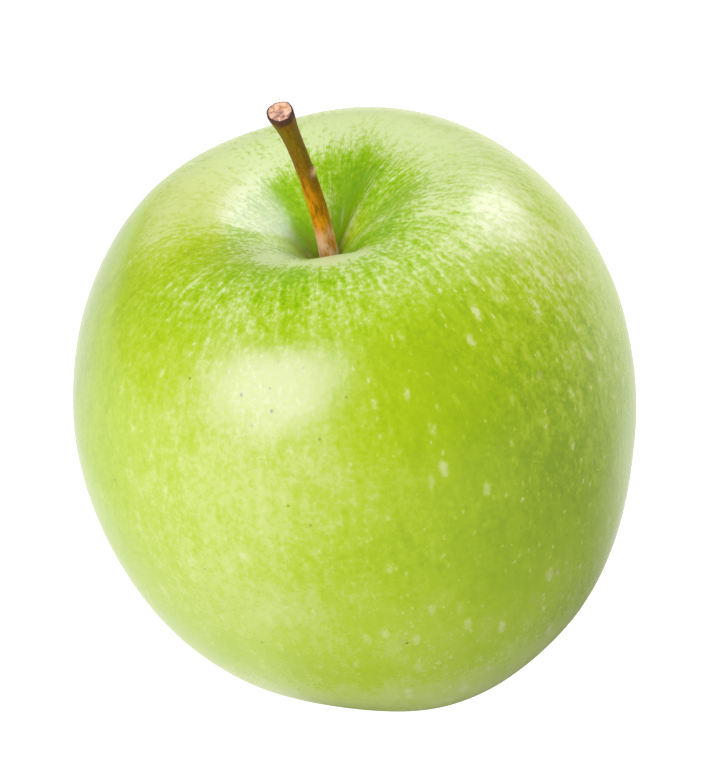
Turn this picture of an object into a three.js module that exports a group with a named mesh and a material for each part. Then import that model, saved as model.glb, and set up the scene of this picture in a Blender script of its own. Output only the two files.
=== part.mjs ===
// A green apple that stands on the lobes of its base, with a woody stem and the dried calyx in its basin.
// Millimetres, +Z up. The apple rests on the plane z = 0, with the middle of its outline over the origin.

import * as THREE from 'three';
import { mergeVertices } from 'three/addons/utils/BufferGeometryUtils.js';

// Driving dimensions. Heights of the fruit are measured from its widest circle, along its own core line.
const EQUATOR_RADIUS = 39;
const SHOULDER_HEIGHT = 32.2;
const SHOULDER_RADIUS = 19;
const CAVITY_DEPTH = 11.5;
const CAVITY_STEEPNESS = 2.2;
const BASE_DROP = 42.6;
const BASE_RADIUS = 13.9;
const BASIN_DEPTH = 9.5;
const UPPER_FULLNESS = 1.94;
const LOWER_FULLNESS = 1.99;

// The core line leans to -X, because the lobes on the +X side of the base grew longer.
const LEAN = THREE.MathUtils.degToRad(6);
const LOBE_COUNT = 5;
const BASE_LOBE = 0.7;
const SHOULDER_LOBE = 0.5;
const SHOULDER_TILT = 0.7;
const SIDE_LOBE = 0.006;
const OVAL = { swell: 0.008, at: 0.57 };
const THREE_SIDED = { swell: 0.008, at: 1.57 };
const LOBE_START_RADIUS = 12;
const FLAT_SPOT_DEPTH = 0.5;

const GAP = 0.32;
const STEM_RADIUS = 1.15;
const STEM_FOOT_RADIUS = 1.65;
const STEM_KNOB_RADIUS = 1.95;
const STEM_LENGTH = 28.2;
const STEM_BEND = { x: -3, y: -2.5 };
const STEM_CUT_SLOPE = 0.45;
const SOCKET_DEPTH = 3;
const SOCKET_RADIUS = STEM_FOOT_RADIUS + GAP;

const CALYX_TUBE_RADIUS = 3.6;
const CALYX_TUBE_DEPTH = 2.6;
const SEPAL = { length: 6.4, width: 2.9, thickness: 0.55, reach: 1.5 };
const TUFT = { radius: 1.05, height: 4.2 };

const SKIN = new THREE.MeshStandardMaterial({ color: 0xa3c22f, roughness: 0.35, metalness: 0 });
const WOOD = new THREE.MeshStandardMaterial({ color: 0x8a6a34, roughness: 0.8, metalness: 0 });
const DRY_LEAF = new THREE.MeshStandardMaterial({ color: 0x6e5a3a, roughness: 0.9, metalness: 0 });
const DRY_FLOWER = new THREE.MeshStandardMaterial({ color: 0x4a3826, roughness: 0.95, metalness: 0 });

const { smoothstep } = THREE.MathUtils;

function steps(count, from, to) {
  return Array.from({ length: count + 1 }, (_, i) => from + ((to - from) * i) / count);
}

// Turns a profile of (radius, height) points round +Z, then moves every point by shape().
function turned(profile, sides, shape) {
  const geometry = new THREE.LatheGeometry(profile, sides);
  geometry.rotateX(Math.PI / 2);
  geometry.deleteAttribute('normal');
  geometry.deleteAttribute('uv');
  const position = geometry.attributes.position;
  const point = new THREE.Vector3();
  for (let i = 0; i < position.count; i += 1) {
    point.fromBufferAttribute(position, i);
    shape(point);
    position.setXYZ(i, point.x, point.y, point.z);
  }
  const welded = mergeVertices(geometry, 1e-4);
  welded.computeVertexNormals();
  return welded;
}

// The fruit's outline from the floor of the calyx tube, round the outside, to the floor of the stem socket.
function fruitProfile() {
  const basin = (r) => -BASE_DROP + BASIN_DEPTH * (1 - (r / BASE_RADIUS) ** 2) ** 1.5;
  const cavity = (r) => SHOULDER_HEIGHT - CAVITY_DEPTH * (1 - r / SHOULDER_RADIUS) ** CAVITY_STEEPNESS;
  const points = [[0, basin(CALYX_TUBE_RADIUS) + CALYX_TUBE_DEPTH]];
  points.push([CALYX_TUBE_RADIUS, basin(CALYX_TUBE_RADIUS) + CALYX_TUBE_DEPTH]);
  for (const r of steps(7, CALYX_TUBE_RADIUS, BASE_RADIUS)) {
    points.push([r, basin(r)]);
  }
  for (const turn of steps(14, Math.PI / 2, 0).slice(1)) {
    const r = BASE_RADIUS + (EQUATOR_RADIUS - BASE_RADIUS) * Math.cos(turn) ** (2 / LOWER_FULLNESS);
    points.push([r, -BASE_DROP * Math.sin(turn) ** (2 / LOWER_FULLNESS)]);
  }
  for (const turn of steps(14, 0, Math.PI / 2).slice(1)) {
    const r = SHOULDER_RADIUS + (EQUATOR_RADIUS - SHOULDER_RADIUS) * Math.cos(turn) ** (2 / UPPER_FULLNESS);
    points.push([r, SHOULDER_HEIGHT * Math.sin(turn) ** (2 / UPPER_FULLNESS)]);
  }
  for (const r of steps(9, SHOULDER_RADIUS, SOCKET_RADIUS).slice(1)) {
    points.push([r, cavity(r)]);
  }
  points.push([SOCKET_RADIUS, socketFloor()]);
  points.push([0, socketFloor()]);
  return points.map(([r, z]) => new THREE.Vector2(r, z));
}

function socketFloor() {
  const rim = 1 - SOCKET_RADIUS / SHOULDER_RADIUS;
  return SHOULDER_HEIGHT - CAVITY_DEPTH * rim ** CAVITY_STEEPNESS - SOCKET_DEPTH;
}

// The five lobes of the shoulders and the base, and the fruit's slightly oval, three-sided girth.
function growLobes(point) {
  const around = Math.atan2(point.y, point.x);
  const away = smoothstep(Math.hypot(point.x, point.y), 0, LOBE_START_RADIUS);
  const top = smoothstep(point.z, 0, SHOULDER_HEIGHT);
  const base = smoothstep(-point.z, 0, BASE_DROP);
  const fiveFold = Math.cos(LOBE_COUNT * around);
  const oval = OVAL.swell * Math.cos(2 * (around - OVAL.at));
  const threeSided = THREE_SIDED.swell * Math.cos(3 * (around - THREE_SIDED.at));
  const swell = 1 + oval + threeSided + SIDE_LOBE * fiveFold;
  point.x *= swell;
  point.y *= swell;
  point.z += away * top * (SHOULDER_LOBE * fiveFold + SHOULDER_TILT * Math.cos(around));
  point.z -= base * (away * BASE_LOBE * fiveFold + Math.tan(LEAN) * point.x);
}

// How high the widest circle's centre stands, with the lobes pressed flat by FLAT_SPOT_DEPTH where they rest.
const CORE_HEIGHT = (BASE_DROP + BASE_LOBE) * Math.cos(LEAN) - FLAT_SPOT_DEPTH;
const UP = new THREE.Vector3(0, 0, 1);
const LEAN_AXIS = new THREE.Vector3(0, 1, 0);

function makeFruit() {
  return turned(fruitProfile(), 60, (point) => {
    growLobes(point);
    point.applyAxisAngle(LEAN_AXIS, -LEAN);
    point.z = Math.max(point.z + CORE_HEIGHT, 0);
  });
}

// Lays a straight piece that was built along +Z onto a curve, keeping its section square to the curve.
function along(curve, length, point) {
  const t = THREE.MathUtils.clamp(point.z / length, 0, 1);
  const tangent = curve.getTangentAt(t);
  const side = new THREE.Vector3(0, 1, 0).cross(tangent).normalize();
  const front = tangent.clone().cross(side);
  const over = point.z - t * length;
  const { x, y } = point;
  point.copy(curve.getPointAt(t));
  point.addScaledVector(side, x).addScaledVector(front, y).addScaledVector(tangent, over);
}

function makeStem() {
  const foot = socketFloor() + GAP;
  const curve = new THREE.CubicBezierCurve3(
    new THREE.Vector3(0, 0, foot),
    new THREE.Vector3(0, 0, foot + STEM_LENGTH * 0.41),
    new THREE.Vector3(STEM_BEND.x * 0.41, STEM_BEND.y * 0.4, foot + STEM_LENGTH * 0.715),
    new THREE.Vector3(STEM_BEND.x, STEM_BEND.y, foot + STEM_LENGTH),
  );
  const outline = [
    [0, 0],
    [STEM_FOOT_RADIUS * 0.8, 0],
    [STEM_FOOT_RADIUS, 0.05],
    [STEM_FOOT_RADIUS * 0.95, 0.12],
    [STEM_RADIUS * 1.12, 0.24],
    [STEM_RADIUS, 0.4],
    [STEM_RADIUS, 0.55],
    [STEM_RADIUS * 0.98, 0.7],
    [STEM_RADIUS * 1.02, 0.82],
    [STEM_RADIUS * 1.25, 0.9],
    [STEM_KNOB_RADIUS * 0.93, 0.955],
    [STEM_KNOB_RADIUS, 0.98],
    [STEM_KNOB_RADIUS * 0.8, 1],
    [0, 1],
  ];
  const profile = outline.map(([r, part]) => new THREE.Vector2(r, part * STEM_LENGTH));
  return turned(profile, 16, (point) => {
    const nearCut = smoothstep(point.z / STEM_LENGTH, 0.9, 0.98);
    point.z += nearCut * STEM_CUT_SLOPE * point.y;
    along(curve, STEM_LENGTH, point);
  });
}

// A sepal rises out of the calyx tube beside its wall and curls over towards the middle of the basin.
function makeSepal() {
  const start = CALYX_TUBE_RADIUS - GAP - SEPAL.thickness;
  const fall = SEPAL.length * 0.72;
  const curve = new THREE.CubicBezierCurve3(
    new THREE.Vector3(start, 0, 0),
    new THREE.Vector3(start, 0, -fall * 0.55),
    new THREE.Vector3(start + SEPAL.reach * 0.6, 0, -fall * 0.8),
    new THREE.Vector3(start + SEPAL.reach, 0, -fall),
  );
  const outline = [[0, 0], [0.6, 0], [0.62, 0.15], [0.9, 0.4], [1, 0.55], [0.8, 0.75], [0.4, 0.92], [0, 1]];
  const profile = outline.map(([half, part]) => new THREE.Vector2(half, part * SEPAL.length));
  return turned(profile, 10, (point) => {
    point.x *= SEPAL.thickness / 2;
    point.y *= SEPAL.width / 2;
    along(curve, SEPAL.length, point);
  });
}

// The withered stamens and styles: a ribbed tuft that hangs in the middle of the calyx.
function makeTuft() {
  const outline = [[0, 0], [0.9, 0], [1, 0.2], [0.75, 0.5], [0.95, 0.8], [0.6, 1], [0, 0.93]];
  const profile = outline.map(([wide, part]) => new THREE.Vector2(wide * TUFT.radius, part * TUFT.height));
  const geometry = turned(profile, 20, (point) => {
    const rib = 1 + 0.12 * Math.cos(LOBE_COUNT * Math.atan2(point.y, point.x));
    point.x *= rib;
    point.y *= rib;
  });
  return geometry.rotateX(Math.PI);
}

function named(name, geometry, material) {
  const mesh = new THREE.Mesh(geometry, material.clone());
  mesh.name = name;
  return mesh;
}

// The pieces that follow the core line: built upright round it, then leaned with it.
function makeCorePieces() {
  const core = new THREE.Group();
  core.rotation.y = -LEAN;
  core.position.z = CORE_HEIGHT;
  core.add(named('stem', makeStem(), WOOD));
  const calyx = new THREE.Group();
  const tubeFloor = fruitProfile()[0].y;
  calyx.position.z = tubeFloor - GAP;
  for (let i = 0; i < LOBE_COUNT; i += 1) {
    const sepal = named(`sepal_${i + 1}`, makeSepal(), DRY_LEAF);
    sepal.rotation.z = (2 * Math.PI * (i + 0.5)) / LOBE_COUNT;
    calyx.add(sepal);
  }
  calyx.add(named('stamen_tuft', makeTuft(), DRY_FLOWER));
  core.add(calyx);
  return core;
}

const apple = new THREE.Group();
apple.add(named('fruit', makeFruit(), SKIN));
apple.add(makeCorePieces());

// Stand the middle of the outline over the origin.
const middle = new THREE.Box3().setFromObject(apple, true).getCenter(new THREE.Vector3());
apple.position.set(-middle.x, -middle.y, 0);
apple.updateMatrixWorld(true);

export default apple;
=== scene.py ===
import math

import bpy
import numpy as np
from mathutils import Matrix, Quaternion, Vector


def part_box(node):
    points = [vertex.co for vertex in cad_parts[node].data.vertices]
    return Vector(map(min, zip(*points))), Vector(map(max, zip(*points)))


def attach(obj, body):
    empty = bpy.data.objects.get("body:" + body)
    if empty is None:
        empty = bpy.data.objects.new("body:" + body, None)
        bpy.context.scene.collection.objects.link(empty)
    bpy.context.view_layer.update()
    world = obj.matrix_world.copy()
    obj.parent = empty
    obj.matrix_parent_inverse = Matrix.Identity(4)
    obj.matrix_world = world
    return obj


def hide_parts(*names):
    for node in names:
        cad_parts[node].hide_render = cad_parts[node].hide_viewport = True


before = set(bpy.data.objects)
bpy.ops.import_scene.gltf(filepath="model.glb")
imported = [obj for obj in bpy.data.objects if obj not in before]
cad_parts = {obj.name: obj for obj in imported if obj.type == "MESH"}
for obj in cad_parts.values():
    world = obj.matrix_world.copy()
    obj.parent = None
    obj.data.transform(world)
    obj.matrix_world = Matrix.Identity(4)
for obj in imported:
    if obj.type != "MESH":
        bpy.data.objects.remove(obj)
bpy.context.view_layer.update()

# --------------------------------------------------------------------------------------------------
# Driving dimensions, in metres. The fruit's heights are measured from its widest circle, along its core line.
# Azimuths are in degrees round the core line: 0 is on the side of +X and 270 faces the camera.
# --------------------------------------------------------------------------------------------------
MM = 0.001
EQUATOR_RADIUS = 39 * MM
SHOULDER_HEIGHT = 32.2 * MM
SHOULDER_RADIUS = 19 * MM
CAVITY_DEPTH = 11.5 * MM
CAVITY_STEEPNESS = 2.2
BASE_DROP = 42.95 * MM
BASE_RADIUS = 13.9 * MM
BASIN_DEPTH = 9.5 * MM
UPPER_FULLNESS = 1.94
LOWER_FULLNESS = 1.99
LEAN = math.radians(6)
LOBE_COUNT = 5
BASE_LOBE = 0.35 * MM
SHOULDER_LOBE = 0.17 * MM
SHOULDER_TILT = 0.7 * MM
WAVINESS = 0.07
UNEVENNESS = 0.012
SIDE_LOBE = 0.006
LOBE_START_RADIUS = 12 * MM
FLAT_SPOT_DEPTH = 0.5 * MM
CORE_HEIGHT = (BASE_DROP + BASE_LOBE) * math.cos(LEAN) - FLAT_SPOT_DEPTH
SKIN_HOLE_RADIUS = 1.25 * MM

STEM_RADIUS = 1.15 * MM
STEM_LENGTH = 28.2 * MM
STEM_BEND = (-3 * MM, -2.5 * MM)
SOCKET_DEPTH = 3 * MM
SOCKET_RADIUS = 1.97 * MM
SOCKET_GAP = 0.32 * MM
CALYX_TUBE_RADIUS = 3.6 * MM
CALYX_TUBE_DEPTH = 2.6 * MM

AROUND = 360
EQUATOR_MM = EQUATOR_RADIUS / MM

rng = np.random.default_rng(12)


def smoothstep(x, low, high):
    t = np.clip((x - low) / (high - low), 0, 1)
    return t * t * (3 - 2 * t)


def bell(x, middle, width):
    return np.exp(-(((x - middle) / width) ** 2))


def azimuth_bell(around, degrees, width):
    """1 at that azimuth, falling off over width degrees on both sides."""
    away = np.degrees(np.angle(np.exp(1j * (around - math.radians(degrees)))))
    return np.exp(-((away / width) ** 2))


# --------------------------------------------------------------------------------------------------
# The fruit's shape
# --------------------------------------------------------------------------------------------------
def cavity_height(r):
    return SHOULDER_HEIGHT - CAVITY_DEPTH * (1 - r / SHOULDER_RADIUS) ** CAVITY_STEEPNESS


def basin_height(r):
    return -BASE_DROP + BASIN_DEPTH * (1 - (r / BASE_RADIUS) ** 2) ** 1.5


def fruit_profile():
    """(radius, height) rows from the stem's socket, down the outside, to the floor of the calyx tube."""
    hole = SKIN_HOLE_RADIUS
    socket = [(hole * 0.9, cavity_height(hole) - SOCKET_DEPTH), (hole, cavity_height(hole) - MM)]
    cavity = np.linspace(hole, SHOULDER_RADIUS, 70)
    turn = np.linspace(math.pi / 2, 0, 74)[1:]
    upper_r = SHOULDER_RADIUS + (EQUATOR_RADIUS - SHOULDER_RADIUS) * np.cos(turn) ** (2 / UPPER_FULLNESS)
    upper_z = SHOULDER_HEIGHT * np.sin(turn) ** (2 / UPPER_FULLNESS)
    turn = np.linspace(0, math.pi / 2, 86)[1:]
    lower_r = BASE_RADIUS + (EQUATOR_RADIUS - BASE_RADIUS) * np.cos(turn) ** (2 / LOWER_FULLNESS)
    lower_z = -BASE_DROP * np.sin(turn) ** (2 / LOWER_FULLNESS)
    basin = np.linspace(BASE_RADIUS, CALYX_TUBE_RADIUS, 24)[1:]
    tube_floor = basin_height(CALYX_TUBE_RADIUS) + CALYX_TUBE_DEPTH
    tube = [(CALYX_TUBE_RADIUS * 0.97, tube_floor - 1.3 * MM), (CALYX_TUBE_RADIUS * 0.9, tube_floor)]
    radii = np.concatenate([[p[0] for p in socket], cavity, upper_r, lower_r, basin, [p[0] for p in tube]])
    heights = np.concatenate([
        [p[1] for p in socket], cavity_height(cavity), upper_z, lower_z, basin_height(basin),
        [p[1] for p in tube],
    ])
    return radii, heights


def grow_lobes(r, z, around):
    """The five lobes of the shoulders and the base, and the slightly oval, three-sided girth."""
    away = smoothstep(r, 0, LOBE_START_RADIUS)
    top = smoothstep(z, 0, SHOULDER_HEIGHT)
    base = smoothstep(-z, 0, BASE_DROP)
    five_fold = np.cos(LOBE_COUNT * around)
    oval = 0.008 * np.cos(2 * (around - 0.57))
    three_sided = 0.008 * np.cos(3 * (around - 1.57))
    swell = 1 + oval + three_sided + SIDE_LOBE * five_fold
    x = r * np.cos(around) * swell
    y = r * np.sin(around) * swell
    z = z + away * top * (SHOULDER_LOBE * five_fold + SHOULDER_TILT * np.cos(around))
    z = z - base * (away * BASE_LOBE * five_fold + math.tan(LEAN) * x)
    return np.stack([x, y, z], -1)


def leaned(points):
    """Points of the upright core's frame, leaned with the core and lifted onto the lobes of the base."""
    x = points[..., 0] * math.cos(LEAN) - points[..., 2] * math.sin(LEAN)
    z = points[..., 0] * math.sin(LEAN) + points[..., 2] * math.cos(LEAN) + CORE_HEIGHT
    return np.stack([x, points[..., 1], z], -1)


def fruit_grid():
    """Radius, height, azimuth and millimetres down from the stem, for every point of the fruit's grid."""
    radii, heights = fruit_profile()
    around = np.linspace(0, 2 * math.pi, AROUND, endpoint=False)
    down = np.concatenate([[0], np.cumsum(np.hypot(np.diff(radii), np.diff(heights)))])
    r, a = np.meshgrid(radii, around, indexing="ij")
    z = np.meshgrid(heights, around, indexing="ij")[0]
    s = np.meshgrid((down - down[2]) / MM, around, indexing="ij")[0]
    return r, z, a, s


grid_r, grid_z, grid_a, grid_s = fruit_grid()
smooth_points = leaned(grow_lobes(grid_r, grid_z, grid_a))
smooth_low, smooth_high = smooth_points.reshape(-1, 3).min(0), smooth_points.reshape(-1, 3).max(0)
fruit_low, fruit_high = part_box("fruit")
SHIFT = np.array([
    (fruit_low.x + fruit_high.x - smooth_low[0] - smooth_high[0]) / 2,
    (fruit_low.y + fruit_high.y - smooth_low[1] - smooth_high[1]) / 2,
    fruit_low.z,
])


def placed(points):
    """Points of the upright core's frame, in the part's own frame."""
    return leaned(points) + SHIFT


# --------------------------------------------------------------------------------------------------
# Meshes
# --------------------------------------------------------------------------------------------------
def mesh_object(name, points, faces):
    mesh = bpy.data.meshes.new(name)
    mesh.from_pydata(points.tolist(), [], faces)
    mesh.update()
    mesh.polygons.foreach_set("use_smooth", [True] * len(mesh.polygons))
    made = bpy.data.objects.new(name, mesh)
    bpy.context.scene.collection.objects.link(made)
    return made


def lay_attribute(piece, name, values):
    """Stores one number, or one vector, for each point of a piece."""
    values = np.asarray(values, np.float32)
    kind, key = ("FLOAT", "value") if values.ndim == 1 else ("FLOAT_VECTOR", "vector")
    attribute = piece.data.attributes.new(name, kind, "POINT")
    attribute.data.foreach_set(key, values.ravel())


def sleeve_faces(rows, columns):
    """Quads of a grid that closes on itself sideways, with a fan of triangles at each end."""
    faces = []
    first, last = rows * columns, rows * columns + 1
    for i in range(rows - 1):
        for j in range(columns):
            k = (j + 1) % columns
            faces.append((i * columns + j, (i + 1) * columns + j, (i + 1) * columns + k, i * columns + k))
    end = (rows - 1) * columns
    for j in range(columns):
        k = (j + 1) % columns
        faces.append((first, j, k))
        faces.append((last, end + k, end + j))
    return faces


def sleeve(name, grid, flip=False):
    """A closed piece from rows of points round it. Its two last points close its ends."""
    rows, columns = grid.shape[:2]
    points = np.concatenate([grid.reshape(-1, 3), [grid[0].mean(0)], [grid[-1].mean(0)]])
    faces = sleeve_faces(rows, columns)
    return mesh_object(name, points, [face[::-1] for face in faces] if flip else faces)


def over_sleeve(values):
    """A grid of numbers as a sleeve's point list, its two end points included."""
    return np.concatenate([values.reshape(-1), [values[0].mean()], [values[-1].mean()]])


def lay_ring(piece, around):
    """Stores the direction round the piece's own axis, which has no seam, as the attribute `around`."""
    ring = np.stack([np.cos(around), np.sin(around), np.zeros_like(around)], -1).reshape(-1, 3)
    lay_attribute(piece, "around", np.concatenate([ring, [[0, 0, 0], [0, 0, 0]]]))


def ripple(points, waves, shortest, longest):
    """A smooth random relief over the points, about -1 to 1, made of plane waves of those lengths."""
    total = np.zeros(points.shape[:-1])
    for _ in range(waves):
        direction = rng.normal(size=3)
        direction *= 2 * math.pi / (np.linalg.norm(direction) * rng.uniform(shortest, longest))
        total += np.cos(points @ direction + rng.uniform(0, 2 * math.pi))
    return total * math.sqrt(2 / waves) / 1.5


# --------------------------------------------------------------------------------------------------
# The fruit
# --------------------------------------------------------------------------------------------------
def patches(a, *rows):
    """Soft patches round the core, added up: strength, azimuth, width and, where it fades downwards, how."""
    total = np.zeros_like(a)
    for strength, azimuth, width, *fade in rows:
        total += strength * azimuth_bell(a, azimuth, width) * (fade[0] if fade else 1)
    return total


def cavity_folds(a, s):
    """Millimetres that the cavity's wall stands out of its smooth funnel: folds, and grooves to the stem."""
    wall = smoothstep(s, 0.5, 5) * (1 - smoothstep(s, 9, 19))
    return patches(
        a, (-1.0, 66, 15, wall), (0.5, 88, 7, wall), (0.55, 36, 12, wall), (-0.3, 8, 12, wall),
        (-0.45, 300, 16, wall), (-0.6, 172, 32, bell(s, 1.5, 4.5)), (-0.5, 131, 44, bell(s, 4, 15.5)),
    )


def shoulder_folds(a, s):
    """Millimetres that soft ridges and dips stand out of the shoulders and the flanks."""
    shoulder = bell(s, 26, 40)
    return patches(
        a, (0.85, 340, 19, shoulder), (-0.3, 300, 20, shoulder), (0.3, 138, 34, bell(s, 28, 9)),
        (-0.4, 320, 36, bell(s, 86, 17)),
    )


def make_fruit():
    r, z, a, s = grid_r, grid_z, grid_a, grid_s
    step_r, step_z = np.gradient(r, axis=0), np.gradient(z, axis=0)
    length = np.hypot(step_r, step_z)
    out_r, out_z = -step_z / length, step_r / length
    skin = smoothstep(s, 0.5, 4) * (1 - smoothstep(s, 98, 110))
    relief = cavity_folds(a, s) + shoulder_folds(a, s)
    relief += WAVINESS * skin * ripple(smooth_points, 26, 9 * MM, 26 * MM)
    relief += UNEVENNESS * skin * ripple(smooth_points, 40, 3.5 * MM, 7 * MM)
    points = placed(grow_lobes(r + relief * MM * out_r, z + relief * MM * out_z, a))
    points[..., 2] = np.maximum(points[..., 2], fruit_low.z)
    fruit = sleeve("apple_fruit", points)
    lay_attribute(fruit, "down", over_sleeve(s))
    lay_ring(fruit, a)
    for name, values in skin_regions(a, s).items():
        lay_attribute(fruit, name, over_sleeve(values))
    return fruit


def cavity_pale(a, s):
    """How pale the stem cavity is: rays of pale and deep green skin between its folds, and painted shade at
    its foot left of the stem, at 150 degrees.
    """
    outer, rim = smoothstep(s, 9, 12), smoothstep(s, 10, 12)
    return 0.35 + patches(
        a, (0.35, 195, 48), (0.12, 255, 25), (0.25, 228, 9), (0.5, 295, 12), (-0.12, 316, 8), (-0.12, 64, 12),
        (-0.16, 122, 13), (0.14, 30, 12, outer), (0.12, 112, 10, smoothstep(s, 6, 12)), (0.42, 275, 17, rim),
        (-0.3, 150, 30, 1 - smoothstep(s, 4, 9)), (0.35, 85, 6, bell(s, 6, 4)),
        (0.6, 42, 10, bell(s, 3.5, 4)),
    )


def shoulder_pale(a, s):
    """How pale the ring on top of the shoulders is. It is partly pale skin and partly a painted reflection of
    the bright room, and palest at the back.
    """
    return 0.9 + patches(
        a, (0.12, 80, 46), (-0.44, 255, 45), (-0.4, 202, 16), (-0.18, 256, 7), (-0.18, 313, 20),
        (-0.1, 228, 10), (0.1, 143, 20), (0.12, 230, 60, smoothstep(s, 20, 26)),
        (-0.14, 66, 16, 1 - smoothstep(s, 17, 22)),
    )


def flank_pale(a, s):
    """How pale the flanks are, which blend into the base, with painted shade at the left edge and painted
    floor light on the bottom.
    """
    upper = 0.3 + patches(
        a, (0.36, 246, 36), (-0.1, 308, 16), (0.12, 345, 16),
        # At 192 degrees the left edge is darker: partly deeper green skin, partly painted shade.
        (-0.22, 192, 22, 1 - 0.6 * smoothstep(s, 45, 66)), (-0.12, 322, 18, bell(s, 56, 13)),
        (-0.07, 288, 16, bell(s, 42, 16)), (0.5, 40, 56, 1 - smoothstep(s, 30, 52)),
        (0.16, 198, 17, bell(s, 32, 11)), (0.12, 340, 16, bell(s, 30, 14)),
    )
    # The bottom is paler: partly paler skin, partly painted light from the white floor, strongest at the
    # lower right, with painted shade at the lower left.
    base = 0.5 + 0.26 * smoothstep(s, 84, 95)
    base += patches(a, (0.18, 322, 44, smoothstep(s, 88, 100)), (-0.1, 214, 26, smoothstep(s, 80, 92)))
    return upper + (base - upper) * smoothstep(s, 64, 84) + patches(
        a, (-0.12, 226, 14, bell(s, 27, 8)), (0.1, 262, 24, bell(s, 49, 8)), (0.08, 205, 17, bell(s, 52, 12)),
        (-0.1, 272, 22, bell(s, 61, 7)), (0.09, 250, 26, bell(s, 73, 7)),
    )


def paleness(a, s):
    """How pale the skin is, from deep green at 0 to cream at 1. In places it carries painted light: a
    reflection on the shoulders, shade at the left edge and at the cavity's foot, and floor light on the
    bottom.
    """
    cavity = cavity_pale(a, s)
    # The cavity's colour ends this many millimetres early, at the back left.
    early = patches(a, (2.5, 140, 32))
    top = cavity + (shoulder_pale(a, s) - cavity) * smoothstep(s + early, 12.5, 18.5)
    top += patches(
        a, (0.46, 276, 26, bell(s, 14, 3)), (0.26, 240, 24, bell(s, 13.5, 3)),
        (0.36, 342, 15, bell(s, 8, 4.5)),
    )
    return top + (flank_pale(a, s) - top) * smoothstep(s, 23, 33)


def mottling(a, s):
    """How strongly the paleness varies from spot to spot."""
    inner = 1 - smoothstep(s, 12, 16)
    mottle = 0.86 - 0.48 * smoothstep(s, 24, 34) - 0.18 * smoothstep(s, 58, 76) + patches(
        a, (-0.62, 32, 60, bell(s, 23, 6)),
        (-0.4, 165, 34, smoothstep(s, 13, 18) * (1 - smoothstep(s, 26, 34))), (-0.3, 122, 14, inner),
        (-0.1, 215, 34, inner), (-0.6, 63, 14, 1 - smoothstep(s, 9, 15)), (0.5, 338, 24, bell(s, 44, 18)),
        (-0.2, 293, 12, bell(s, 46, 14)),
    )
    return np.maximum(mottle, 0.1)


def skin_regions(a, s):
    """The skin's attributes, from azimuth and millimetres down from the stem."""
    yellow = 0.1 + 0.9 * smoothstep(s, 18, 36) + patches(a, (0.9, 28, 30, 1 - smoothstep(s, 2, 10)))
    yellow = np.maximum(yellow, patches(a, (1.5, 180, 38, smoothstep(s, 13, 18))))
    # Russeted skin round the stem's foot, and at 162 degrees a patch up the cavity's wall that paints the
    # shade at the cavity's foot, left of the stem.
    russet_and_shade = 0.25 * (1 - smoothstep(s, 0.5, 4)) + patches(a, (1, 162, 42, 1 - smoothstep(s, 2, 8.5)))
    right_flank = smoothstep(s, 20, 32) * (1 - 0.6 * smoothstep(s, 54, 72) - 0.4 * smoothstep(s, 82, 96))
    return {
        "pale": paleness(a, s),
        "mottle": mottling(a, s),
        "dotted": 0.3 + patches(a, (0.7, 322, 30, smoothstep(s, 24, 32))),
        "scuffed": patches(a, (1, 328, 24, right_flank), (0.22, 262, 44, smoothstep(s, 44, 60))),
        "yellow": np.clip(yellow, 0, 1),
        "russet_and_shade": np.clip(russet_and_shade, 0, 1),
    }


# --------------------------------------------------------------------------------------------------
# The stem
# --------------------------------------------------------------------------------------------------
def bezier(controls, t):
    t = t[:, None]
    p = [np.array(c, float) for c in controls]
    return (1 - t) ** 3 * p[0] + 3 * (1 - t) ** 2 * t * p[1] + 3 * (1 - t) * t**2 * p[2] + t**3 * p[3]


def unit(vectors):
    return vectors / np.linalg.norm(vectors, axis=-1, keepdims=True)


def swept(line, section_x, section_y):
    """Rows of points round a line. section_x and section_y hold each row's outline, square to the line."""
    tangent = unit(np.gradient(line, axis=0))
    side = unit(np.cross(np.array([0, 1, 0]), tangent))
    front = np.cross(tangent, side)
    return line[:, None] + section_x[..., None] * side[:, None] + section_y[..., None] * front[:, None]


# How far along the stem, and its girth there as a share of STEM_RADIUS.
STEM_GIRTH = [
    (0, 1.2), (0.05, 1.17), (0.14, 1.13), (0.26, 1.1), (0.42, 1.05), (0.6, 1.02), (0.76, 1.05), (0.84, 1.12),
    (0.9, 1.25), (0.945, 1.42), (0.98, 1.52), (1, 1.54),
]
STEM_COLUMNS = 64
NODE_ALONG = 0.585
STEM_CUT = np.array(Vector((-0.08, -0.3, 0.95)).normalized())
# The stem's broken end, from its rim to its middle: share of the rim's radius, and millimetres up.
BROKEN_END = [
    (0.985, 0.10), (0.95, 0.14), (0.9, 0.10), (0.86, -0.02), (0.8, -0.10), (0.68, -0.08), (0.5, -0.03),
    (0.32, 0.0), (0.16, -0.05), (0.06, -0.1),
]


def stem_tube(t, a):
    """The stem's side, square at both ends, and the direction that its far end points in."""
    foot = cavity_height(SOCKET_RADIUS) - SOCKET_DEPTH + SOCKET_GAP
    bend_x, bend_y = STEM_BEND
    lean_x, lean_y, straight, bent = 0.41, 0.4, 0.41, 0.715
    controls = [
        (0, 0, foot),
        (0, 0, foot + straight * STEM_LENGTH),
        (lean_x * bend_x, lean_y * bend_y, foot + bent * STEM_LENGTH),
        (bend_x, bend_y, foot + STEM_LENGTH),
    ]
    tt, aa = np.meshgrid(t, a, indexing="ij")
    radius = STEM_RADIUS * np.interp(tt, *zip(*STEM_GIRTH))
    ribs = 0.03 * np.cos(3 * aa + 4 * tt) + 0.018 * np.cos(7 * aa - 6 * tt) + 0.012 * np.cos(12 * aa + 9 * tt)
    radius *= 1 + ribs
    radius += 0.26 * MM * azimuth_bell(aa, 352, 26) * bell(tt, NODE_ALONG, 0.017)
    radius += 0.1 * MM * azimuth_bell(aa, 190, 30) * bell(tt, 0.45, 0.03)
    tip = unit(np.array([(1 - lean_x) * bend_x, (1 - lean_y) * bend_y, (1 - bent) * STEM_LENGTH]))
    return swept(bezier(controls, t), radius * np.cos(aa), radius * np.sin(aa)), tip


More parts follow.
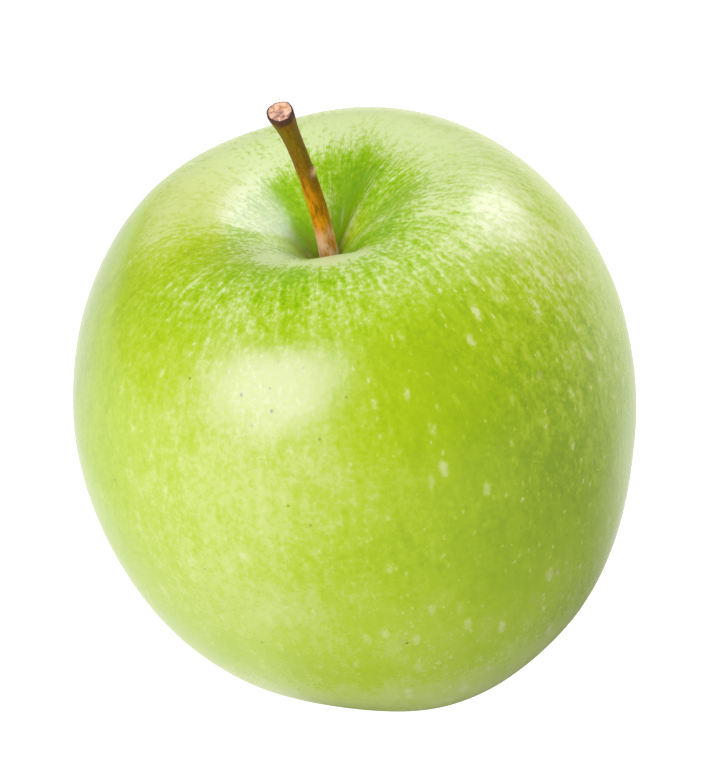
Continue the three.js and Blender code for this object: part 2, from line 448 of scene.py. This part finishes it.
def broken_end(rim, a):
    """Rings from the cut's rim to its middle: a raised, ragged lip round a sunken face."""
    middle = rim.mean(0)
    ragged = 1 + 0.05 * np.cos(5 * a + 1) + 0.04 * np.cos(9 * a + 2) + 0.03 * np.cos(17 * a)
    rings = []
    for share, up in BROKEN_END:
        ring = middle + (rim - middle) * (1 - (1 - share) * ragged[:, None])
        rough = 0.035 * np.cos(8 * a + 20 * share) + 0.03 * np.cos(13 * a - 31 * share)
        rings.append(ring + ((up + rough * (share < 0.97)) * MM)[:, None] * STEM_CUT)
    return np.stack(rings)


def make_stem():
    """A woody stem that flares to an oblique broken end, with ridges along it and the scar of a bud."""
    t = np.concatenate([np.linspace(0, 0.85, 110)[:-1], np.linspace(0.85, 1, 50)])
    a = np.linspace(0, 2 * math.pi, STEM_COLUMNS, endpoint=False)
    tt, aa = np.meshgrid(t, a, indexing="ij")
    side, tip = stem_tube(t, a)
    slide = ((side[-1].mean(0) - side[-1]) @ STEM_CUT) / (tip @ STEM_CUT)
    side = side + (slide * smoothstep(tt, 0.86, 1))[..., None] * tip
    end = broken_end(side[-1], a)
    stem = sleeve("apple_stem", placed(np.concatenate([side, end])))
    on_end = np.ones((len(end), STEM_COLUMNS))
    toward_middle = np.linspace(0.12, 1, len(end))[:, None] * on_end
    scar = azimuth_bell(aa, 340, 30) * bell(tt, NODE_ALONG - 0.008, 0.022)
    lay_attribute(stem, "along", over_sleeve(np.concatenate([tt, on_end])))
    lay_attribute(stem, "cut_face", over_sleeve(np.concatenate([np.zeros_like(tt), toward_middle])))
    lay_attribute(stem, "scar", over_sleeve(np.concatenate([scar, 0 * on_end])))
    lay_ring(stem, np.concatenate([aa, a * on_end]))
    return stem


# --------------------------------------------------------------------------------------------------
# The dried calyx
# --------------------------------------------------------------------------------------------------
SEPAL_LENGTH = 6.4 * MM
SEPAL_WIDTH = 3.1 * MM
SEPAL_THICKNESS = 0.34 * MM
TUFT_HEIGHT = 4.2 * MM
TUFT_HAIRS = 20
GOLDEN_ANGLE = 2.399963


def calyx_floor():
    return basin_height(CALYX_TUBE_RADIUS) + CALYX_TUBE_DEPTH - SOCKET_GAP


def turned_about_core(points, angle):
    """Points turned round the core line and lowered to the floor of the calyx tube."""
    x = points[..., 0] * math.cos(angle) - points[..., 1] * math.sin(angle)
    y = points[..., 0] * math.sin(angle) + points[..., 1] * math.cos(angle)
    return np.stack([x, y, points[..., 2] + calyx_floor()], -1)


def make_sepal(number):
    """A pointed leaf that leaves the calyx tube and curls, with a midrib, crimped edges and a bent tip."""
    t = np.linspace(0, 1, 46)
    a = np.linspace(0, 2 * math.pi, 28, endpoint=False)
    tt, aa = np.meshgrid(t, a, indexing="ij")
    fall = 0.72 * SEPAL_LENGTH
    start = CALYX_TUBE_RADIUS - 0.8 * MM
    curl = rng.uniform(0.7, 1.25)
    reach = 1.5 * MM * curl
    line = bezier([
        (start, 0, 0),
        (start, rng.uniform(-0.2, 0.2) * MM, -0.55 * fall),
        (start + 0.4 * reach, rng.uniform(-0.4, 0.4) * MM, -0.9 * fall),
        (start + reach, rng.uniform(-0.6, 0.6) * MM, -fall * rng.uniform(0.86, 1)),
    ], t)
    outline = np.interp(tt, [0, 0.1, 0.35, 0.55, 0.75, 0.9, 1], [0.62, 0.75, 0.95, 0.9, 0.6, 0.26, 0.05])
    torn = 1 + 0.06 * np.sin(31 * tt + number) + 0.04 * np.sin(57 * tt + 2 * number)
    half = SEPAL_WIDTH / 2 * outline * torn
    across = half * np.cos(aa)
    thinning = (1 - 0.65 * np.abs(np.cos(aa)) ** 3) * (0.4 + 0.6 * (1 - tt**3))
    thick = SEPAL_THICKNESS / 2 * np.sin(aa) * thinning
    cup = (across / SEPAL_WIDTH) ** 2 * SEPAL_WIDTH * (0.9 - 1.8 * tt)
    crimp = 0.10 * MM * np.sin(24 * tt + 3 * number) * smoothstep(tt, 0.1, 0.4)
    crimp = crimp * (across / (SEPAL_WIDTH / 2)) ** 2
    midrib = 0.12 * MM * bell(across, 0, 0.22 * MM) * np.sign(np.sin(aa)) * (1 - tt) * (np.sin(aa) < 0)
    grid = swept(line, thick + cup + crimp - midrib, across)
    turn = 2 * math.pi * (number - 0.5) / LOBE_COUNT
    sepal = sleeve(f"apple_sepal_{number}", placed(turned_about_core(grid, turn)))
    lay_attribute(sepal, "along", over_sleeve(tt))
    lay_attribute(sepal, "across", over_sleeve(across / SEPAL_WIDTH * 2))
    return sepal


def make_hair(number):
    """One bent hair of the tuft with a dry anther at its tip. The hairs start in a sunflower's spiral."""
    t = np.linspace(0, 1, 16)
    a = np.linspace(0, 2 * math.pi, 8, endpoint=False)
    tt, aa = np.meshgrid(t, a, indexing="ij")
    angle = GOLDEN_ANGLE * number
    out = 0.95 * MM * math.sqrt((number + 0.5) / TUFT_HAIRS)
    outward = np.array([math.cos(angle), math.sin(angle), 0])
    base = out * outward
    lean = outward * rng.uniform(0.1, 0.9) * out
    swerve = rng.normal(size=3) * 0.25 * MM
    tip = base + lean + np.array([0, 0, -TUFT_HEIGHT * rng.uniform(0.55, 0.98)])
    line = bezier([base, base + [0, 0, -1.2 * MM], (base + tip) / 2 + swerve, tip], t)
    thick = np.interp(tt, [0, 0.7, 0.8, 0.9, 0.97, 1], [0.13, 0.09, 0.2, 0.24, 0.16, 0.03]) * MM
    return swept(line, thick * np.cos(aa), thick * np.sin(aa))


def make_tuft_base():
    """The ribbed dry foot that the hairs grow out of."""
    rows = np.linspace(0, 1, 12)
    columns = np.linspace(0, 2 * math.pi, 40, endpoint=False)
    rr, cc = np.meshgrid(rows, columns, indexing="ij")
    ribs = 1 + 0.1 * np.cos(5 * cc) + 0.04 * np.cos(13 * cc)
    wide = 1.15 * MM * np.sqrt(np.clip(1 - rr**2.5, 0.01, 1)) * ribs
    return np.stack([wide * np.cos(cc), wide * np.sin(cc), -1.5 * MM * rr], -1)


def make_tuft():
    """Withered stamens and styles."""
    parts = [make_hair(number) for number in range(TUFT_HAIRS)] + [make_tuft_base()]
    points, faces, heights = [], [], []
    for part in parts:
        start = sum(len(p) for p in points)
        flat = np.concatenate([part.reshape(-1, 3), [part[0].mean(0)], [part[-1].mean(0)]])
        points.append(placed(turned_about_core(flat, 0)))
        heights.append(-flat[:, 2] / TUFT_HEIGHT)
        faces += [tuple(start + k for k in face[::-1]) for face in sleeve_faces(*part.shape[:2])]
    tuft = mesh_object("apple_stamen_tuft", np.concatenate(points), faces)
    lay_attribute(tuft, "along", np.concatenate(heights))
    return tuft


# --------------------------------------------------------------------------------------------------
# Materials
# --------------------------------------------------------------------------------------------------
def srgb(red, green, blue):
    """A colour picked on the 0 to 255 screen scale, as the linear colour a shader takes."""
    parts = [c / 255 for c in (red, green, blue)]
    return tuple(c / 12.92 if c <= 0.04045 else ((c + 0.055) / 1.055) ** 2.4 for c in parts) + (1.0,)


class Graph:
    """Short calls that build one node tree and give back the output sockets."""

    def __init__(self, tree):
        self.tree = tree
        tree.nodes.clear()

    def node(self, kind, inputs=(), **settings):
        made = self.tree.nodes.new(kind)
        for key, value in settings.items():
            setattr(made, key, value)
        for key, value in dict(inputs).items():
            self.feed(made.inputs[key], value)
        return made

    def feed(self, socket, value):
        if isinstance(value, bpy.types.NodeSocket):
            self.tree.links.new(value, socket)
        else:
            socket.default_value = value

    def attribute(self, name, output="Fac"):
        return self.node("ShaderNodeAttribute", attribute_name=name).outputs[output]

    def math(self, operation, a, b=0.0, c=0.0, clamp=False):
        inputs = {0: a, 1: b, 2: c}
        return self.node("ShaderNodeMath", inputs, operation=operation, use_clamp=clamp).outputs[0]

    def add(self, first, *others):
        for other in others:
            first = self.math("ADD", first, other)
        return first

    def times(self, a, b):
        return self.math("MULTIPLY", a, b)

    def vector(self, operation, a, b):
        return self.node("ShaderNodeVectorMath", {0: a, 1: b}, operation=operation)

    def stretch(self, vector, x, y, z):
        return self.vector("MULTIPLY", vector, (x, y, z)).outputs[0]

    def span(self, value, low, high, to_low=0.0, to_high=1.0):
        inputs = {"Value": value, "From Min": low, "From Max": high, "To Min": to_low, "To Max": to_high}
        return self.node("ShaderNodeMapRange", inputs, interpolation_type="SMOOTHSTEP").outputs[0]

    def noise(self, vector, scale=1.0, detail=3.0, roughness=0.5):
        """Smooth noise round 0, about -0.3 to 0.3."""
        inputs = {"Vector": vector, "Scale": scale, "Detail": detail, "Roughness": roughness}
        return self.add(self.node("ShaderNodeTexNoise", inputs).outputs[0], -0.5)

    def mix(self, factor, a, b, blend="MIX"):
        made = self.node("ShaderNodeMix", data_type="RGBA", blend_type=blend, clamp_factor=True)
        for socket, value in ((made.inputs[0], factor), (made.inputs[6], a), (made.inputs[7], b)):
            self.feed(socket, value)
        return made.outputs[2]

    def ramp(self, value, stops):
        made = self.node("ShaderNodeValToRGB", {"Fac": value})
        elements = made.color_ramp.elements
        while len(elements) < len(stops):
            elements.new(0.5)
        for element, (position, colour) in zip(elements, stops):
            element.position = position
            element.color = tuple(colour)[:3] + (1.0,)
        return made.outputs["Color"]

    def bump(self, height, strength, distance=0.2 * MM):
        inputs = {"Height": height, "Strength": strength, "Distance": distance}
        return self.node("ShaderNodeBump", inputs).outputs[0]

    def position(self, scale=1.0):
        """Where on the piece a point is, in its own frame, times scale."""
        inputs = {0: self.node("ShaderNodeTexCoord").outputs["Object"], "Scale": scale}
        return self.node("ShaderNodeVectorMath", inputs, operation="SCALE").outputs[0]

    def surface(self, shader):
        output = self.node("ShaderNodeOutputMaterial")
        self.tree.links.new(shader, output.inputs["Surface"])

    def principled(self, **inputs):
        """Closes the graph with a Principled shader that has these inputs."""
        named = {key.replace("_", " "): value for key, value in inputs.items()}
        self.surface(self.node("ShaderNodeBsdfPrincipled", named).outputs[0])


def new_material(name):
    material = bpy.data.materials.new(name)
    material.use_nodes = True
    return material, Graph(material.node_tree)


def ring_place(g, along, radius, length):
    """Seamless texture coordinates of a piece that is round its own axis: across it and along it."""
    around = g.attribute("around", "Vector")
    lift = g.node("ShaderNodeCombineXYZ", {"Z": g.times(along, length)}).outputs[0]
    return g.vector("ADD", g.stretch(around, radius, radius, radius), lift).outputs[0]


# Small marks of the skin: azimuth, millimetres down from the stem, radius in millimetres, strength.
SPECKS = [
    (248, 37, 0.22, 0.6), (255, 36, 0.16, 0.45), (255.5, 39, 0.22, 0.6), (251, 41, 0.13, 0.5),
    (273, 38, 0.15, 0.5), (266, 43, 0.16, 0.5), (234, 36, 0.15, 0.6), (257, 32.5, 0.12, 0.35),
    (263.5, 33.5, 0.13, 0.35), (258, 52, 0.14, 0.5), (262, 55, 0.14, 0.5), (216, 55, 0.18, 0.45),
    (238, 64, 0.16, 0.4), (246, 78, 0.2, 0.35), (277, 78, 0.2, 0.5),
]
SPECK_COLOUR = (0.03, 0.025, 0.0, 1.0)
# Pale corky marks of the right flank, in the same four numbers.
SCARS = [
    (340, 39, 0.75, 0.4), (314, 77, 0.6, 0.4), (308, 79.5, 0.5, 0.35), (277, 78, 0.55, 0.5),
    (333, 33, 0.5, 0.35), (319, 46, 0.45, 0.35),
]
SCAR_COLOUR = (0.42, 0.4, 0.14, 1.0)
# Olive brown of russeted skin, which also paints the shade at the foot of the stem cavity.
RUSSET_AND_SHADE_COLOUR = (0.14, 0.13, 0.0, 1.0)
# Paleness, and the linear colour of green and of yellowish skin there; the palest also paints the shoulders'
# reflection.
GREEN_SKIN = [
    (0.0, (0.13, 0.34, 0.0)), (0.38, (0.225, 0.43, 0.0)), (0.5, (0.27, 0.458, 0.025)),
    (0.7, (0.35, 0.515, 0.1)), (1.0, (0.505, 0.63, 0.28)),
]
YELLOW_SKIN = [
    (0.0, (0.225, 0.37, 0.0)), (0.4, (0.32, 0.47, 0.0)), (0.55, (0.355, 0.492, 0.022)),
    (0.72, (0.4, 0.522, 0.085)), (1.0, (0.485, 0.575, 0.19)),
]
# A faint violet in the gloss keeps the highlights white over the green skin.
SKIN_GLOSS_TINT = (0.72, 0.56, 1.0, 1.0)


def dots(g, place, smallest, largest):
    """Soft round spots, one at most in each unit cell, of mixed sizes and strengths."""
    cells = g.node("ShaderNodeTexVoronoi", {"Vector": place, "Scale": 1.0})
    chance = g.node("ShaderNodeSeparateColor", {0: cells.outputs["Color"]})
    size = g.span(chance.outputs[1], 0, 1, smallest, largest)
    dot = g.math("SUBTRACT", 1.0, g.math("DIVIDE", cells.outputs["Distance"], size), clamp=True)
    return g.times(g.span(dot, 0.0, 0.85), g.span(chance.outputs[0], 0.3, 0.9))


def marked(g, colour, place, marks, mark_colour):
    """The skin's colour with soft round marks on it."""
    for azimuth, mm_down, radius, strength in marks:
        a = math.radians(azimuth)
        middle = (EQUATOR_MM * math.cos(a), EQUATOR_MM * math.sin(a), mm_down)
        away = g.vector("DISTANCE", place, middle).outputs["Value"]
        colour = g.mix(g.span(away, radius * 0.4, radius * 1.9, strength, 0.0), colour, mark_colour)
    return colour


def skin_material():
    material, g = new_material("apple_skin")
    place = ring_place(g, g.attribute("down"), EQUATOR_MM, 1.0)
    spot = g.position(1 / MM)
    grain = g.noise(g.stretch(place, 0.66, 0.66, 0.44), 1.0, 4.0, 0.66)
    streak = g.noise(g.stretch(place, 0.85, 0.85, 0.22), 1.0, 3.0, 0.5)
    lace = g.noise(spot, 1.45, 4.0, 0.62)
    patch = g.noise(g.stretch(place, 0.2, 0.2, 0.13), 1.0, 2.0, 0.5)
    swing = g.add(grain, g.add(g.times(streak, 0.6), g.times(lace, 1.2)))
    mottled = g.times(swing, g.times(g.attribute("mottle"), 1.5))
    pale = g.add(g.attribute("pale"), mottled, g.times(patch, 0.3))

    drift = g.node("ShaderNodeTexNoise", {"Vector": spot, "Scale": 1.3}).outputs["Color"]
    wander = g.vector("ADD", place, g.stretch(drift, 0.9, 0.9, 1.3)).outputs[0]
    large_dots = dots(g, g.stretch(wander, 0.42, 0.42, 0.24), 0.2, 0.46)
    small_dots = dots(g, g.stretch(wander, 0.9, 0.9, 0.6), 0.14, 0.4)
    crowding = g.span(g.add(lace, patch), -0.28, 0.12, 0.25, 1.0)
    lenticels = g.times(g.add(large_dots, small_dots), crowding)
    scuffs = g.span(g.noise(g.stretch(place, 0.66, 0.66, 0.32), 1.0, 4.0, 0.66), -0.02, 0.18)
    scuffed = g.attribute("scuffed")
    pale = g.add(pale, g.times(lenticels, g.attribute("dotted")), g.times(g.times(scuffs, scuffed), 0.4))

    russet_and_shade = g.attribute("russet_and_shade")
    # The paleness here carries painted light in places: a reflection on the shoulders, shade at the left
    # edge, floor light on the bottom.
    colour = g.mix(g.attribute("yellow"), g.ramp(pale, GREEN_SKIN), g.ramp(pale, YELLOW_SKIN))
    # Olive brown for russeted skin and for the painted shade at the cavity's foot, left of the stem.
    colour = g.mix(g.times(russet_and_shade, g.span(g.add(grain, lace), -0.35, 0.25)), colour, RUSSET_AND_SHADE_COLOUR)
    colour = marked(g, colour, wander, SCARS, SCAR_COLOUR)
    colour = marked(g, colour, place, SPECKS, SPECK_COLOUR)
    relief = g.add(g.noise(spot, 1.1, 3.0, 0.5), g.times(lenticels, 0.15))
    gloss = g.add(g.span(pale, 0.2, 1.1, 0.22, 0.31), g.times(russet_and_shade, 0.1), g.times(scuffed, 0.08))
    g.principled(
        Base_Color=colour, Roughness=gloss, Specular_IOR_Level=0.74, Specular_Tint=SKIN_GLOSS_TINT,
        Normal=g.bump(relief, 0.16),
    )
    return material


def bark_colour(g, along, around, fibre, fine, blotch):
    """Papery at the foot, golden above it and olive brown to the end, with a dark collar below the cut."""
    lift = g.add(g.times(fibre, 0.35), g.times(around.outputs["X"], 0.12))
    bark = g.ramp(g.add(along, g.add(g.times(blotch, 0.5), lift)), [
        (0.10, srgb(190, 124, 26)), (0.28, srgb(204, 138, 0)), (0.4, srgb(176, 118, 0)),
        (0.52, srgb(132, 92, 0)), (0.66, srgb(110, 84, 0)), (0.85, srgb(112, 94, 0)),
        (0.97, srgb(116, 82, 12)),
    ])
    cracks = g.span(g.add(fibre, g.times(fine, 0.5)), -0.02, 0.24, 0.0, 0.75)
    patchy = g.span(g.add(blotch, g.times(fine, 0.5)), -0.14, 0.06)
    papery = g.times(g.span(along, 0.14, 0.30, 1.0, 0.0), patchy)
    flecks = g.times(g.span(fine, 0.06, 0.2), g.span(along, 0.3, 0.85, 0.7, 0.25))
    collar = g.add(along, g.add(g.times(fine, 0.02), g.times(around.outputs["Y"], -0.012)))
    for share, colour in (
        (cracks, srgb(84, 54, 0)), (g.span(fine, -0.3, -0.1, 0.5, 0.0), srgb(220, 156, 30)),
        (papery, srgb(218, 180, 150)), (g.attribute("scar"), srgb(224, 188, 146)),
        (flecks, srgb(206, 150, 24)), (g.span(collar, 0.965, 0.985, 0.0, 0.85), srgb(70, 44, 36)),
    ):
        bark = g.mix(share, bark, colour)
    return bark


def wood_colour(g, face):
    """The broken end's pale wood, with a darker pith in its middle."""
    spot = g.position()
    wood = g.ramp(g.add(g.times(g.noise(spot, 1500.0, 4.0, 0.65), 1.7), 0.5), [
        (0.2, srgb(110, 74, 80)), (0.42, srgb(176, 136, 112)), (0.6, srgb(212, 176, 142)),
        (0.85, srgb(228, 196, 162)),
    ])
    wood = g.mix(g.span(g.noise(spot, 760.0, 3.0, 0.6), 0.0, 0.2, 0.0, 0.6), wood, srgb(206, 140, 66))
    return g.mix(g.span(face, 0.75, 1.0, 0.0, 0.45), wood, srgb(150, 116, 128))


def stem_material():
    material, g = new_material("apple_stem_wood")
    along = g.attribute("along")
    place = ring_place(g, along, STEM_RADIUS / MM, 28.0)
    fibre = g.noise(g.stretch(place, 2.2, 2.2, 0.4), 1.0, 4.0, 0.6)
    fine = g.noise(g.stretch(place, 5, 5, 2.5), 1.0, 3.0, 0.6)
    blotch = g.noise(g.stretch(place, 0.9, 0.9, 0.35), 1.0, 2.0, 0.5)
    around = g.node("ShaderNodeSeparateXYZ", {0: g.attribute("around", "Vector")})
    face = g.attribute("cut_face")
    bark = bark_colour(g, along, around, fibre, fine, blotch)
    bark = g.mix(g.span(face, 0.02, 0.12), bark, srgb(62, 40, 40))
    inside = g.add(face, g.add(g.times(fine, 0.35), g.times(around.outputs["Y"], 0.14)))
    colour = g.mix(g.span(inside, 0.34, 0.46), bark, wood_colour(g, face))
    relief = g.add(fibre, g.times(fine, 0.5))
    g.principled(Base_Color=colour, Roughness=0.55, Specular_IOR_Level=0.16, Normal=g.bump(relief, 0.6))
    return material


def dry_material(name, dark, light, tip):
    material, g = new_material(name)
    grain = g.add(g.noise(g.position(), 1400.0, 4.0, 0.65), 0.5)
    colour = g.ramp(grain, [(0.3, dark), (0.7, light)])
    colour = g.mix(g.span(g.attribute("along"), 0.55, 1.0), colour, tip)
    g.principled(Base_Color=colour, Roughness=0.92, Specular_IOR_Level=0.2, Normal=g.bump(grain, 0.7))
    return material


# --------------------------------------------------------------------------------------------------
# Floor, light and camera
# --------------------------------------------------------------------------------------------------
VIEW_ELEVATION = 37
VIEW_DISTANCE = 480 * MM
VIEW_ROLL = math.radians(2.13)
VIEW_LENS = 157.2
VIEW_AIM = (0.88 * MM, 2.86 * MM)
FLOOR_HALF = 3.0
# The floor's brightness: in reflections on its dark and its bright side, to the camera, and to diffuse light.
FLOOR_GLOW = (0.04, 1.15)
FLOOR_SEEN = 1.3
FLOOR_BOUNCE = 1.05
FLOOR_GLOW_SHARE = 0.85
LAMP_DISTANCE = 0.9
KEY = {"toward": (-34.5, 33), "spread": (44, 45), "radiance": 5.0}
KEY_CORE = {"toward": (-37, 32), "spread": (34, 33), "radiance": 2.8}
RIM = {"toward": (138, 44), "spread": (47, 38), "radiance": 6.0}
# The room's brightness: in reflections all round, what its lit side adds there at the left and at the right,
# and to diffuse light.
WORLD_FRONT = 0.02
WORLD_BACK = (0.22, 0.43)
WORLD_FILL = 0.55
LIGHT_COLOUR = (0.95, 0.87, 1.0)


def lit_side(g, place):
    """0 on the side of the apple that faces front and right, 1 all round the rest of it."""
    level = g.vector("NORMALIZE", g.stretch(place, 1.0, 1.0, 0.0), (0.0, 0.0, 0.0)).outputs[0]
    return g.span(g.vector("DOT_PRODUCT", level, (-0.6, 0.8, 0.0)).outputs["Value"], -0.75, -0.25)


def make_floor():
    """A pale floor that the camera sees as plain white and that is brighter behind and left of the apple."""
    corners = np.array([(-1, -1, 0), (1, -1, 0), (1, 1, 0), (-1, 1, 0)], float)
    floor = mesh_object("floor", FLOOR_HALF * corners, [(0, 1, 2, 3)])
    material, g = new_material("floor_white")
    path = g.node("ShaderNodeLightPath")
    dark, bright = FLOOR_GLOW
    lit = lit_side(g, g.node("ShaderNodeTexCoord").outputs["Object"])
    glow = g.math("MULTIPLY_ADD", lit, bright - dark, dark)
    glow = g.math("MAXIMUM", glow, g.times(path.outputs["Is Camera Ray"], FLOOR_SEEN))
    glow = g.math("MAXIMUM", glow, g.times(path.outputs["Is Diffuse Ray"], FLOOR_BOUNCE))
    diffuse = g.node("ShaderNodeBsdfDiffuse", {"Color": (0.9, 0.9, 0.9, 1)}).outputs[0]
    emission = g.node("ShaderNodeEmission", {"Color": (1, 1, 1, 1), "Strength": glow}).outputs[0]
    g.surface(g.node("ShaderNodeMixShader", {"Fac": FLOOR_GLOW_SHARE, 1: diffuse, 2: emission}).outputs[0])
    floor.data.materials.append(material)


def from_angles(azimuth, elevation):
    """The direction from the apple to a viewer at that elevation and azimuth, where 0 looks along +Y."""
    a, e = math.radians(azimuth), math.radians(elevation)
    return Vector((math.sin(a) * math.cos(e), -math.cos(a) * math.cos(e), math.sin(e)))


def soft_box(name, toward, spread, radiance):
    """An oval area light in that direction from the apple. Spread is the two angles that it fills."""
    light = bpy.data.lights.new(name, "AREA")
    light.shape = "ELLIPSE"
    light.size = 2 * LAMP_DISTANCE * math.tan(math.radians(spread[0] / 2))
    light.size_y = 2 * LAMP_DISTANCE * math.tan(math.radians(spread[1] / 2))
    light.energy = radiance * (math.pi / 4 * light.size * light.size_y) * math.pi
    light.color = LIGHT_COLOUR
    lamp = bpy.data.objects.new(name, light)
    direction = from_angles(*toward)
    lamp.location = Vector((0, 0, fruit_high.z / 2)) + direction * LAMP_DISTANCE
    lamp.rotation_euler = direction.to_track_quat("Z", "Y").to_euler()
    lamp.visible_camera = False
    bpy.context.scene.collection.objects.link(lamp)


def make_world():
    """A white room that is darker on the viewer's side. The camera itself sees plain white."""
    world = bpy.data.worlds.new("studio")
    bpy.context.scene.world = world
    world.use_nodes = True
    g = Graph(world.node_tree)
    toward = g.node("ShaderNodeTexCoord").outputs["Generated"]
    parts = g.node("ShaderNodeSeparateXYZ", {0: toward})
    side = g.times(lit_side(g, toward), g.span(parts.outputs["Z"], 0.2, 0.75, 1.0, 0.0))
    side = g.times(side, g.span(parts.outputs["X"], 0.0, 0.8, *WORLD_BACK))
    room = g.add(side, WORLD_FRONT)
    path = g.node("ShaderNodeLightPath")
    strength = g.math("MAXIMUM", room, path.outputs["Is Camera Ray"])
    strength = g.math("MAXIMUM", strength, g.times(path.outputs["Is Diffuse Ray"], WORLD_FILL))
    background = g.node("ShaderNodeBackground", {"Color": (1, 1, 1, 1), "Strength": strength})
    output = g.node("ShaderNodeOutputWorld")
    g.tree.links.new(background.outputs[0], output.inputs["Surface"])


def make_camera():
    data = bpy.data.cameras.new("camera")
    data.lens = VIEW_LENS
    data.clip_start = 0.01
    camera = bpy.data.objects.new("camera", data)
    back = from_angles(0, VIEW_ELEVATION)
    turn = back.to_track_quat("Z", "Y")
    right, up = turn @ Vector((1, 0, 0)), turn @ Vector((0, 1, 0))
    aim = Vector((0, 0, fruit_high.z / 2)) + right * VIEW_AIM[0] + up * VIEW_AIM[1]
    camera.location = aim + back * VIEW_DISTANCE
    camera.rotation_mode = "QUATERNION"
    camera.rotation_quaternion = turn @ Quaternion((0, 0, 1), -VIEW_ROLL)
    bpy.context.scene.collection.objects.link(camera)
    bpy.context.scene.camera = camera


def ride(piece, node, material):
    """Gives a piece its look, ties it to the body and hides the CAD node that it stands for."""
    piece.data.materials.append(material)
    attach(piece, "root")
    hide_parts(node)


make_camera()
make_world()
make_floor()
soft_box("key", **KEY)
soft_box("key_core", **KEY_CORE)
soft_box("rim", **RIM)

ride(make_fruit(), "fruit", skin_material())
ride(make_stem(), "stem", stem_material())
dry_leaf = dry_material("apple_dry_sepal", srgb(74, 56, 34), srgb(136, 112, 74), srgb(60, 44, 28))
for i in range(1, LOBE_COUNT + 1):
    ride(make_sepal(i), f"sepal_{i}", dry_leaf)
ride(make_tuft(), "stamen_tuft",
     dry_material("apple_dry_stamen", srgb(52, 36, 22), srgb(110, 84, 52), srgb(34, 24, 18)))

scene = bpy.context.scene
scene.view_settings.view_transform = "Standard"
scene.view_settings.look = "None"

bpy.context.view_layer.update()
